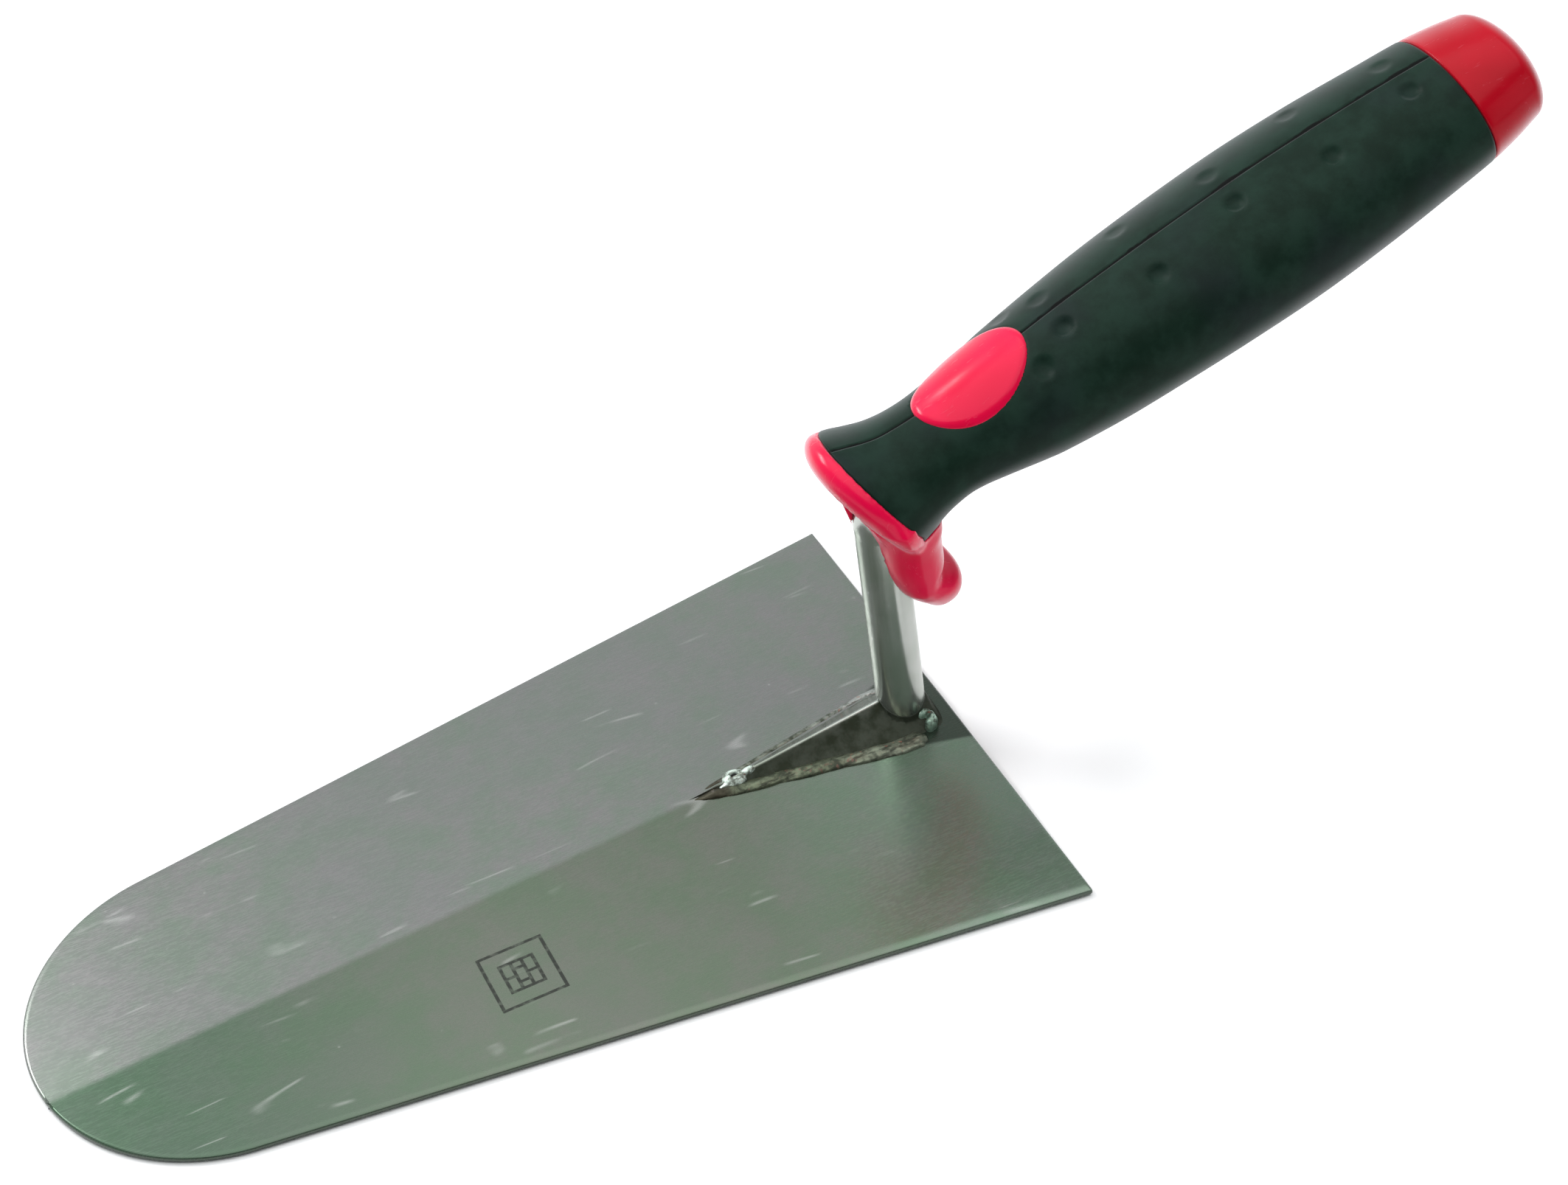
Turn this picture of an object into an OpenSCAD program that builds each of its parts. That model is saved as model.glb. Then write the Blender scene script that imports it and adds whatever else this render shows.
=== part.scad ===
// Brick trowel with a round nose, a welded upright shank and a soft grip handle.
// Millimetres. +Z is up and +X runs from the nose towards the butt of the handle.
// The origin lies on the flat underside of the blade, at the middle of the heel edge.

/* [Blade] */
// Length from the heel edge to the nose
blade_len = 180; // [160:1:200]
// Width across the heel edge
heel_w = 115.4; // [100:0.2:130]
// Half width of the rounded nose
nose_r = 36.7; // [30:0.1:42]
// Length of the nose curve as a share of its half width
nose_squash = 0.956; // [0.9:0.001:1]
// Thickness on the centre ridge at the heel
ridge_t = 2.3; // [2:0.1:3]
// Thickness lost from the ridge to the heel corners
side_drop = 1.1; // [0.6:0.1:1.2]
// Thickness lost along the ridge from heel to nose
nose_drop = 0.8; // [0.4:0.1:0.9]

/* [Shank] */
// Diameter of the round post
post_d = 9.2; // [8:0.1:10]
// Distance of the post axis in front of the heel edge
post_setback = 8.5; // [7:0.1:10]
// Centreline radius of the bend inside the guard
bend_r = 12; // [10:0.5:14]
// Length of the straight tang inside the handle
tang_len = 88; // [70:1:100]
// Diameter of the tang tip
tang_tip_d = 5; // [4:0.1:7]
// Height of the foot ridge at the post, above the underside
foot_h = 7.8; // [6:0.1:9]
// Length of the foot from the post axis to its toe
foot_len = 45; // [38:1:50]
// Half width of the foot beside the post
foot_half_w = 8; // [6.5:0.1:9]

/* [Handle] */
// Tilt of the handle axis above the blade
tilt = 17.5; // [12:0.5:22]
// Height at which the post axis meets the handle axis
knee_z = 56.2; // [50:0.1:62]
// Thickness of the soft grip
grip_t = 2.4; // [1.8:0.1:3]
// Length of the thumb pad
pad_len = 23.6; // [20:0.2:26]
// Width of the thumb pad
pad_w = 18.6; // [16:0.2:20]
// Height of the thumb pad above the grip
pad_rise = 0.8; // [0.4:0.1:1.2]
// Diameter of the grip dimples
dimple_d = 4; // [3:0.1:5]

/* [Hidden] */

steel = "lightslategray";
red = "crimson";
big = 400;
half_w = heel_w / 2;
post_r = post_d / 2;

// The handle frame has its zero on the handle axis, knee_s behind the knee.
knee_s = 40;
turn = 90 - tilt;
bend_leg = bend_r * tan(turn / 2);
bend_swell = 0.4;

// The foot is sunk a little into the blade, rises from toe_z and slopes down again at its back.
toe_z = 2;
foot_base_z = 1;
foot_back = 1.5;
foot_fall = 1.2;
near_weld_r = 2;
far_weld_r = 1.6;

// The grip ends at cap_s, where the butt cap begins with a plug seated in the core.
cap_s = 84;
plug_d = 13;
plug_len = 9;
dome_s = 94.6;
dome_rise = 5.2;
dome_half_w = 13.3;
dome_up = 9.6;
dome_down = 10.1;

// Centre of the thumb pad, and the slanted front edge of the grip.
pad_s = -15.6;
grip_front_s = -39.4;
grip_front_slant = 17;

// The lip ahead of it is widest at lip_peak and rounds down to lip_share of that at lip_front.
lip_front = 5.3;
lip_peak = 0.8;
lip_share = 0.5;
lip_reach = 12.5;

// Zigzag row of dimples, and one more beside the rear of the thumb pad.
dimple_s = 2.5;
dimple_pitch = 18.5;
dimple_rows = [4.8, 7.6];
pad_dimple = [-4.6, 8.4];

// Web beside the post where it leaves the guard.
web_z = 49.3;
web_h = 6.5;
web_low = 0.15;
web_high = 1.7;
web_y = 0.8;

// Handle stations: distance along the axis, upper half height, half width, lower half height.
barrel = [
    [-45.5, 14.4, 14.9, 11.5], [-44, 14.2, 15.1, 11.2], [-41, 12.9, 15.1, 10.6],
    [-38, 11.5, 14.1, 10.1], [-35, 10.5, 12.9, 9.9], [-32, 10.1, 12.0, 9.2],
    [-29, 9.9, 11.6, 8.6], [-26, 9.85, 11.6, 8.2], [-23, 9.95, 11.9, 8.6],
    [-20, 10.2, 12.4, 9.3], [-16, 10.6, 13.2, 10.2], [-12, 10.95, 13.95, 11.2],
    [-8, 11.3, 14.7, 11.9], [4, 12.3, 16.15, 13.0], [16, 12.9, 17.4, 13.0],
    [30, 13.3, 18.1, 13.4], [45, 13.4, 18.3, 13.7], [60, 12.9, 17.65, 13.3],
    [75, 11.9, 16.3, 12.7], [84, 11.1, 15.6, 11.8], [90, 10.4, 14.5, 11.0],
    [94.5, 9.6, 13.3, 10.1]
];
// Finger guard stations: height, front face, rear face, half width.
guard = [
    [0, -43.4, -36, 12.6], [-4, -44.2, -34, 12.2], [-8, -45.1, -32, 11.4],
    [-11, -45.6, -33.1, 10.8], [-14, -46.1, -34, 10.4], [-17, -46.2, -34.9, 10],
    [-20, -45.8, -37, 9.6], [-21.5, -45.4, -35.6, 9.3], [-23, -44.9, -33.9, 9],
    [-25, -43.8, -33.7, 8.2], [-27, -42.8, -34.6, 6.9], [-28.6, -41.8, -35.8, 5],
    [-29.6, -40.8, -37.2, 3], [-30, -40, -38.3, 1.4]
];

// Smooth value of column c at position s, from a table sorted upwards.
function slope(t, k, c) = let (a = max(k - 1, 0), b = min(k + 1, len(t) - 1))
    (t[b][c] - t[a][c]) / (t[b][0] - t[a][0]);
function span(t, s, k = 0) = (k >= len(t) - 2 || s <= t[k + 1][0]) ? k : span(t, s, k + 1);
function smooth(t, s, c) =
    let (k = span(t, s), h = t[k + 1][0] - t[k][0], u = (s - t[k][0]) / h)
    t[k][c] * (1 + 2 * u) * (1 - u) * (1 - u) + t[k + 1][c] * u * u * (3 - 2 * u)
    + slope(t, k, c) * h * u * (1 - u) * (1 - u) - slope(t, k + 1, c) * h * u * u * (1 - u);

// Closed skin through rings of equal point count; the rings advance along their axis.
module skin(rings) {
    n = len(rings[0]);
    m = len(rings);
    sides = [for (k = [0:m - 2]) for (i = [0:n - 1]) let (j = (i + 1) % n)
        each [[(k + 1) * n + i, (k + 1) * n + j, k * n + j],
              [(k + 1) * n + i, k * n + j, k * n + i]]];
    first = [for (i = [0:n - 1]) i];
    last = [for (i = [n - 1:-1:0]) (m - 1) * n + i];
    polyhedron([for (r = rings) each r], concat([first], sides, [last]));
}

// Ring of n points with half width ry and half heights up and down.
function oval(s, up, ry, down, n) =
    [for (i = [0:n - 1]) [s, ry * cos(360 * i / n), (2 * i < n ? up : down) * sin(360 * i / n)]];

// Handle barrel grown by g, from station s0 to s1, in steps of about step.
module barrel_skin(g, s0, s1, step, n) {
    stops = concat([for (s = [s0:step:s1 - step / 2]) s], [s1]);
    skin([for (s = stops)
        oval(s, smooth(barrel, s, 1) + g, smooth(barrel, s, 2) + g, smooth(barrel, s, 3) + g, n)]);
}

// Everything drawn in the handle frame is placed by this.
module on_handle() {
    translate([-post_setback, 0, knee_z])
        rotate([0, -tilt, 0])
            translate([knee_s, 0, 0])
                children();
}

// --- blade -----------------------------------------------------------------

nose_cx = -blade_len + nose_r * nose_squash;
tangent_a = atan2(half_w, -nose_cx / nose_squash)
    + acos(nose_r / norm([nose_cx / nose_squash, half_w]));

module blade_outline() {
    steps = 48;
    arc = [for (i = [0:steps]) let (a = tangent_a + (360 - 2 * tangent_a) * i / steps)
        [nose_cx + nose_squash * nose_r * cos(a), nose_r * sin(a)]];
    polygon(concat([[0, half_w]], arc, [[0, -half_w]]));
}

// Everything above one of the two sloping upper faces.
module above_face(side) {
    translate([0, 0, ridge_t])
        rotate([-side * atan(side_drop / half_w), -atan(nose_drop / blade_len), 0])
            translate([-big / 2, -big / 2, 0])
                cube([big, big, 2 * foot_h]);
}

module blade_solid() {
    difference() {
        linear_extrude(ridge_t + 1) blade_outline();
        above_face(1);
        above_face(-1);
    }
}

module blade() {
    color(steel) blade_solid();
}

// --- shank -----------------------------------------------------------------

// Wedge foot: a ridge from the toe up to the post, and a short slope behind it.
module foot() {
    toe = [-post_setback - foot_len, 0, toe_z];
    back = -post_setback + post_r + foot_back;
    front = -post_setback - post_r;
    w = foot_half_w;
    polyhedron(
        [toe, [front, -w, foot_base_z], [back, -w, foot_base_z],
         [back, w, foot_base_z], [front, w, foot_base_z], [front, 0, foot_h],
         [-post_setback + post_r, 0, foot_h - foot_fall]],
        [[0, 5, 1], [0, 4, 5], [1, 5, 6], [1, 6, 2], [4, 6, 5], [4, 3, 6],
         [2, 6, 3], [0, 1, 2], [0, 2, 3], [0, 3, 4]]);
}

// Post, bend and tang on one centreline. The forged bend is a little thicker than the bar.
module bar() {
    bend_z = knee_z - bend_leg;
    lap = 1.5;
    translate([-post_setback, 0, foot_base_z])
        cylinder(r = post_r, h = bend_z - foot_base_z + lap, $fn = 64);
    translate([-post_setback + bend_r, 0, bend_z])
        rotate([90, 0, 0])
            rotate([0, 0, 180 - turn])
                rotate_extrude(angle = turn, $fn = 96)
                    translate([bend_r, 0])
                        circle(r = post_r + bend_swell, $fn = 64);
    on_handle()
        translate([-knee_s + bend_leg - lap, 0, 0])
            rotate([0, 90, 0])
                rotate_extrude($fn = 64)
                    polygon([[0, 0], [post_r, 0], [post_r, tang_len * 0.7],
                             [tang_tip_d / 2, tang_len], [0, tang_len]]);
}

module shank_solid() {
    difference() {
        union() {
            foot();
            bar();
        }
        blade_solid();
    }
}

module shank() {
    color(steel) shank_solid();
}

// --- welds -----------------------------------------------------------------

// Weld metal never fills the blade or the shank.
module weld_cut() {
    difference() {
        children();
        blade_solid();
        translate([-big / 2, -big / 2, -big])
            cube([big, big, big + 1]);
        foot();
        translate([-post_setback, 0, 0])
            cylinder(r = post_r, h = 2 * foot_h, $fn = 64);
    }
}

// Lumpy fillet of radius r along one side of the foot; side is -1 near, 1 far.
module weld_bead(side, r) {
    toe_x = -post_setback - foot_len;
    run = foot_len - post_r;
    length = norm([run, foot_half_w]);
    lumps = 4;
    weld_cut()
        translate([toe_x, 0, 1.2])
            rotate([0, 0, side * atan(foot_half_w / run)])
                rotate([0, 90, 0]) {
                    translate([0, 0, length * 0.2])
                        cylinder(r = r, h = length * 0.9, $fn = 24);
                    for (i = [0:lumps - 1])
                        translate([0, 0, length * (0.3 + 0.2 * i)])
                            cylinder(r1 = r * 1.15, r2 = r * 1.3, h = length * 0.13, $fn = 24);
                }
}

module weld_near() {
    color("silver") weld_bead(-1, near_weld_r);
}

module weld_far() {
    color("silver") weld_bead(1, far_weld_r);
}

// Small raised spot where the ridge of the foot meets the blade.
module weld_toe() {
    color("silver")
        weld_cut()
            translate([-post_setback - foot_len * 0.8, 0, 1])
                sphere(r = 3.1, $fn = 24);
}

// Blob closing the foot behind the post.
module weld_heel() {
    color("silver")
        difference() {
            weld_cut()
                for (y = [-4, 0, 4])
                    translate([-post_setback + post_r + 1.4, y, 1.6])
                        sphere(r = 2.9, $fn = 24);
            weld_bead(-1, near_weld_r);
            weld_bead(1, far_weld_r);
        }
}

// --- handle ----------------------------------------------------------------

// Region ahead of a slanted plane that crosses the axis at s.
module ahead_of(s) {
    translate([s, 0, 0])
        rotate([0, -grip_front_slant, 0])
            translate([-big, -big / 2, -big / 2])
                cube([big, big, big]);
}

// Front lip, as rings parallel to the slanted edge of the grip; w is the distance ahead of it.
function lip_scale(w) = w < lip_peak ? 1
    : lip_share + (1 - lip_share) * sqrt(1 - pow((w - lip_peak) / (lip_front - lip_peak), 2));
function lip_ring(w, n) = [for (i = [0:n - 1]) let (
    a = 360 * i / n,
    s = max(grip_front_s - w - tan(grip_front_slant) * lip_reach * sin(a), barrel[0][0]),
    y = lip_scale(w) * smooth(barrel, s, 2) * cos(a),
    z = lip_scale(w) * smooth(barrel, s, 2 * i < n ? 1 : 3) * sin(a))
    [grip_front_s - w - tan(grip_front_slant) * z, y, z]];

module lip() {
    skin([for (w = [lip_front, 5.2, 4.9, 4.4, 3.7, 2.8, 1.8, lip_peak, 0]) lip_ring(w, 40)]);
}

// Oval prism that stands for the thumb pad outline.
module pad_prism() {
    n = 32;
    translate([pad_s, 0, 0])
        linear_extrude(big / 10)
            polygon([for (i = [0:n - 1])
                [pad_len / 2 * cos(360 * i / n), pad_w / 2 * sin(360 * i / n)]]);
}

// Finger guard that hangs from the front rim, as a stack of flattened ovals.
module finger_guard() {
    n = 28;
    flat = 2 / 2.5;
    function bulge(v) = sign(v) * pow(abs(v), flat);
    rings = [for (q = guard) let (c = (q[1] + q[2]) / 2, a = (q[2] - q[1]) / 2)
        [for (i = [0:n - 1])
            [c + a * bulge(cos(360 * i / n)), -q[3] * bulge(sin(360 * i / n)), q[0]]]];
    skin(rings);
}

// Thin web on the far side of the post where it leaves the guard.
module web() {
    intersection() {
        translate([-post_setback, 0, web_z])
            cylinder(r1 = post_r + web_low, r2 = post_r + web_high, h = web_h, $fn = 48);
        translate([-post_setback - big / 2, web_y, 0])
            cube([big, big, big]);
    }
}

module core_body() {
    difference() {
        barrel_skin(-grip_t, -45, cap_s, 4.3, 32);
        ahead_of(grip_front_s - lip_front * 0.8);
    }
    lip();
    finger_guard();
    intersection() {
        barrel_skin(pad_rise, -32, 0, 3.2, 40);
        pad_prism();
    }
}

module handle_core() {
    color(red)
        difference() {
            union() {
                on_handle() core_body();
                web();
            }
            bar();
            on_handle()
                translate([cap_s - plug_len, 0, 0])
                    rotate([0, 90, 0])
                        cylinder(d = plug_d, h = big / 10, $fn = 48);
        }
}

// Finger dimples in a zigzag row on each upper side of the grip.
module dimples() {
    for (side = [-1, 1])
        for (at = concat([pad_dimple], [for (k = [0:4])
                [dimple_s + dimple_pitch * k, dimple_rows[k % 2]]])) {
            s = at[0];
            y = side * at[1];
            z = smooth(barrel, s, 1) * sqrt(1 - pow(y / smooth(barrel, s, 2), 2));
            translate([s, y, z + dimple_d * 0.3])
                sphere(d = dimple_d * 1.15, $fn = 24);
        }
}

module grip_sleeve() {
    color("darkslategray")
        on_handle()
            difference() {
                barrel_skin(0, -44.4, cap_s, 3.21, 40);
                barrel_skin(-grip_t, -45, cap_s, 4.3, 32);
                ahead_of(grip_front_s);
                finger_guard();
                pad_prism();
                dimples();
            }
}

// Domed end of the handle with a plug that seats in the core.
module butt_cap() {
    n = 40;
    steps = 5;
    color(red)
        on_handle() {
            skin(concat(
                [for (i = [0:steps]) let (s = cap_s + (dome_s - cap_s) * i / steps)
                    oval(s, smooth(barrel, s, 1), smooth(barrel, s, 2), smooth(barrel, s, 3), n)],
                [for (a = [9:12:81]) oval(dome_s + dome_rise * sin(a),
                    dome_up * cos(a), dome_half_w * cos(a), dome_down * cos(a), n)]));
            translate([cap_s - plug_len, 0, 0])
                rotate([0, 90, 0])
                    cylinder(d = plug_d, h = plug_len + 2, $fn = 48);
        }
}

blade();
shank();
weld_near();
weld_far();
weld_toe();
weld_heel();
handle_core();
grip_sleeve();
butt_cap();
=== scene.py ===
"""Looks of the brick trowel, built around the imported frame.

Shapes and the camera are in millimetres; lights and materials are in metres.
"""

import math

import bmesh
import bpy
import numpy as np
from mathutils import Matrix, Vector, noise


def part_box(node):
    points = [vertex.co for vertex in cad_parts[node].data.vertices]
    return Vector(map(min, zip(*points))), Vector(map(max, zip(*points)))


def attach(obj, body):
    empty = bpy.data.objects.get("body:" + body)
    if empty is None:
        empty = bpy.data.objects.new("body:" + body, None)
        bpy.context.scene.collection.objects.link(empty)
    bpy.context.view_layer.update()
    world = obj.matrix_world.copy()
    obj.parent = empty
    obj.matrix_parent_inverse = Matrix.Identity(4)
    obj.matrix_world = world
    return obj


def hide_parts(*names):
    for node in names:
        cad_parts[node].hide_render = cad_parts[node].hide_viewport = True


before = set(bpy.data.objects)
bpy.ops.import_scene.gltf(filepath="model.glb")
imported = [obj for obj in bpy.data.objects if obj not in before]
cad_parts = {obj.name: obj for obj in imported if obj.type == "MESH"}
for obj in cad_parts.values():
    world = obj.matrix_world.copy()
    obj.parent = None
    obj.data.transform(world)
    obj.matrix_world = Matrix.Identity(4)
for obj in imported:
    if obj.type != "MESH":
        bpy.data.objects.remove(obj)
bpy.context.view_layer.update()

MM = 0.001
RANGE_SOCKETS = ("From Min", "From Max", "To Min", "To Max")


# --- camera and studio -------------------------------------------------------

SENSOR_W, LENS = 36.0, 76.2062
AZIMUTH, ELEVATION, ROLL = -19.57, 40.73, -8.58
DISTANCE = 626.75
SLIDE_RIGHT, SLIDE_UP = -30.0813, 21.0709


def make_camera():
    """Looks down on the heel of the blade, turned and rolled, then slides across its own view."""
    azimuth, elevation, roll = (math.radians(a) for a in (AZIMUTH, ELEVATION, ROLL))
    back = Vector((
        math.sin(azimuth) * math.cos(elevation),
        -math.cos(azimuth) * math.cos(elevation),
        math.sin(elevation),
    ))
    level = Vector((math.cos(azimuth), math.sin(azimuth), 0.0))
    rise = back.cross(level)
    right = math.cos(roll) * level + math.sin(roll) * rise
    up = -math.sin(roll) * level + math.cos(roll) * rise
    place = DISTANCE * back + SLIDE_RIGHT * right + SLIDE_UP * up
    data = bpy.data.cameras.new("camera")
    data.sensor_width = SENSOR_W
    data.lens = LENS
    data.clip_start, data.clip_end = 0.01, 20.0
    camera = bpy.data.objects.new("camera", data)
    turn = Matrix((right, up, back)).transposed().to_4x4()
    camera.matrix_world = Matrix.Translation(place * MM) @ turn
    bpy.context.scene.collection.objects.link(camera)
    bpy.context.scene.camera = camera


def add_area(name, spot, target, size, power):
    """A soft rectangular light at spot that faces target; places and sizes in metres."""
    data = bpy.data.lights.new(name, "AREA")
    data.shape = "RECTANGLE"
    data.size, data.size_y = size
    data.energy = power
    lamp = bpy.data.objects.new(name, data)
    lamp.location = spot
    aim = Vector(target) - Vector(spot)
    lamp.rotation_euler = aim.to_track_quat("-Z", "Y").to_euler()
    bpy.context.scene.collection.objects.link(lamp)


def make_surround():
    """Even, faintly blue surround that is brighter on the far side."""
    world = bpy.data.worlds.new("surround")
    bpy.context.scene.world = world
    world.use_nodes = True
    tree = world.node_tree
    background = tree.nodes["Background"]
    background.inputs["Color"].default_value = (0.93, 0.97, 1.0, 1.0)
    facing = tree.nodes.new("ShaderNodeSeparateXYZ")
    fall = tree.nodes.new("ShaderNodeMapRange")
    tree.links.new(tree.nodes.new("ShaderNodeTexCoord").outputs["Generated"], facing.inputs[0])
    tree.links.new(facing.outputs["Y"], fall.inputs["Value"])
    for key, number in zip(RANGE_SOCKETS, (-0.7, 0.8, 0.16, 0.95)):
        fall.inputs[key].default_value = number
    tree.links.new(fall.outputs["Result"], background.inputs["Strength"])


def make_floor():
    """Plain pale floor, a hair under the blade."""
    mesh = bmesh.new()
    bmesh.ops.create_grid(mesh, x_segments=8, y_segments=8, size=4.0)
    data = bpy.data.meshes.new("floor")
    mesh.to_mesh(data)
    mesh.free()
    floor = bpy.data.objects.new("floor", data)
    floor.location = (0.0, 0.0, -0.3 * MM)
    bpy.context.scene.collection.objects.link(floor)
    material = bpy.data.materials.new("pale_floor")
    material.use_nodes = True
    shader = material.node_tree.nodes["Principled BSDF"]
    shader.inputs["Base Color"].default_value = (0.95, 0.95, 0.95, 1.0)
    shader.inputs["Roughness"].default_value = 0.9
    shader.inputs["Specular IOR Level"].default_value = 0.1
    data.materials.append(material)


def make_studio():
    """Surround, floor and three soft boxes."""
    bpy.context.scene.view_settings.view_transform = "Standard"
    make_surround()
    make_floor()
    add_area("key", (-0.5, 0.76, 0.80), (0.02, 0.0, 0.07), (0.5, 0.2), 7.2)
    add_area("top", (0.05, -0.05, 1.3), (0.0, 0.0, 0.0), (1.8, 1.8), 17.0)
    add_area("rim", (0.6, -0.55, 0.35), (0.06, 0.0, 0.06), (0.35, 0.5), 0.5)


# --- mesh helpers ------------------------------------------------------------

def build(name, points, faces):
    """A smooth-shaded mesh object from points in millimetres."""
    data = bpy.data.meshes.new(name)
    data.from_pydata((np.asarray(points, float) * MM).tolist(), [], [list(f) for f in faces])
    data.update()
    data.polygons.foreach_set("use_smooth", [True] * len(data.polygons))
    shape = bpy.data.objects.new(name, data)
    bpy.context.scene.collection.objects.link(shape)
    return shape


def weld_normals(shape):
    """Merges points that meet and points every face outwards."""
    mesh = bmesh.new()
    mesh.from_mesh(shape.data)
    bmesh.ops.remove_doubles(mesh, verts=mesh.verts, dist=1e-7)
    bmesh.ops.recalc_face_normals(mesh, faces=mesh.faces)
    mesh.to_mesh(shape.data)
    mesh.free()


def skin(name, rings, loop=False):
    """A closed shell through rings of equal point count; loop joins the last ring to the first."""
    rings = [np.asarray(r, float) for r in rings]
    count = len(rings[0])
    points = np.concatenate(rings)
    faces = []
    last = len(rings) if loop else len(rings) - 1
    for k in range(last):
        a, b = k * count, ((k + 1) % len(rings)) * count
        for i in range(count):
            j = (i + 1) % count
            faces.append((a + i, a + j, b + j, b + i))
    if not loop:
        for k in (0, len(rings) - 1):
            centre = len(points)
            points = np.vstack([points, rings[k].mean(0)])
            for i in range(count):
                faces.append((k * count + i, k * count + (i + 1) % count, centre))
    shape = build(name, points, faces)
    weld_normals(shape)
    return shape


def apply_modifiers(shape):
    """Replaces the mesh with its evaluated result."""
    bpy.context.view_layer.update()
    graph = bpy.context.evaluated_depsgraph_get()
    result = bpy.data.meshes.new_from_object(shape.evaluated_get(graph))
    shape.modifiers.clear()
    shape.data = result


def unite(shape, other):
    """Exact union with other, which is then removed."""
    step = shape.modifiers.new("cut", "BOOLEAN")
    step.operation = "UNION"
    step.solver = "EXACT"
    step.object = other
    apply_modifiers(shape)
    bpy.data.objects.remove(other)
    shape.data.polygons.foreach_set("use_smooth", [True] * len(shape.data.polygons))


def join(name, shapes):
    """One object holding the meshes of several."""
    mesh = bmesh.new()
    for shape in shapes:
        mesh.from_mesh(shape.data)
        bpy.data.objects.remove(shape)
    data = bpy.data.meshes.new(name)
    mesh.to_mesh(data)
    mesh.free()
    data.polygons.foreach_set("use_smooth", [True] * len(data.polygons))
    whole = bpy.data.objects.new(name, data)
    bpy.context.scene.collection.objects.link(whole)
    return whole


def fuse(shape, voxel_mm, smoothing):
    """Voxel remesh of overlapping shells into one, with the steps smoothed away."""
    step = shape.modifiers.new("voxels", "REMESH")
    step.mode = "VOXEL"
    step.voxel_size = voxel_mm * MM
    step.use_smooth_shade = True
    soft = shape.modifiers.new("soft", "SMOOTH")
    soft.factor = 0.5
    soft.iterations = smoothing
    apply_modifiers(shape)


def roughen(shape, scale_mm, depth_mm, seed, fine=0.35):
    """Pushes every point along its normal by two octaves of seeded noise; scale is per axis."""
    offset = Vector((seed * 7.31, seed * 3.17, seed * 5.93))
    for v in shape.data.vertices:
        p = Vector([c / (k * MM) for c, k in zip(v.co, scale_mm)]) + offset
        push = noise.noise(p) + fine * noise.noise(p * 2.7 + offset)
        v.co += v.normal * push * depth_mm * MM
    shape.data.update()


def adopt(shape, node, material):
    """Lets shape stand for a CAD node, in one material."""
    shape.data.materials.clear()
    shape.data.materials.append(material)
    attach(shape, "root")
    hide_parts(node)


# --- node materials ----------------------------------------------------------

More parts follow.
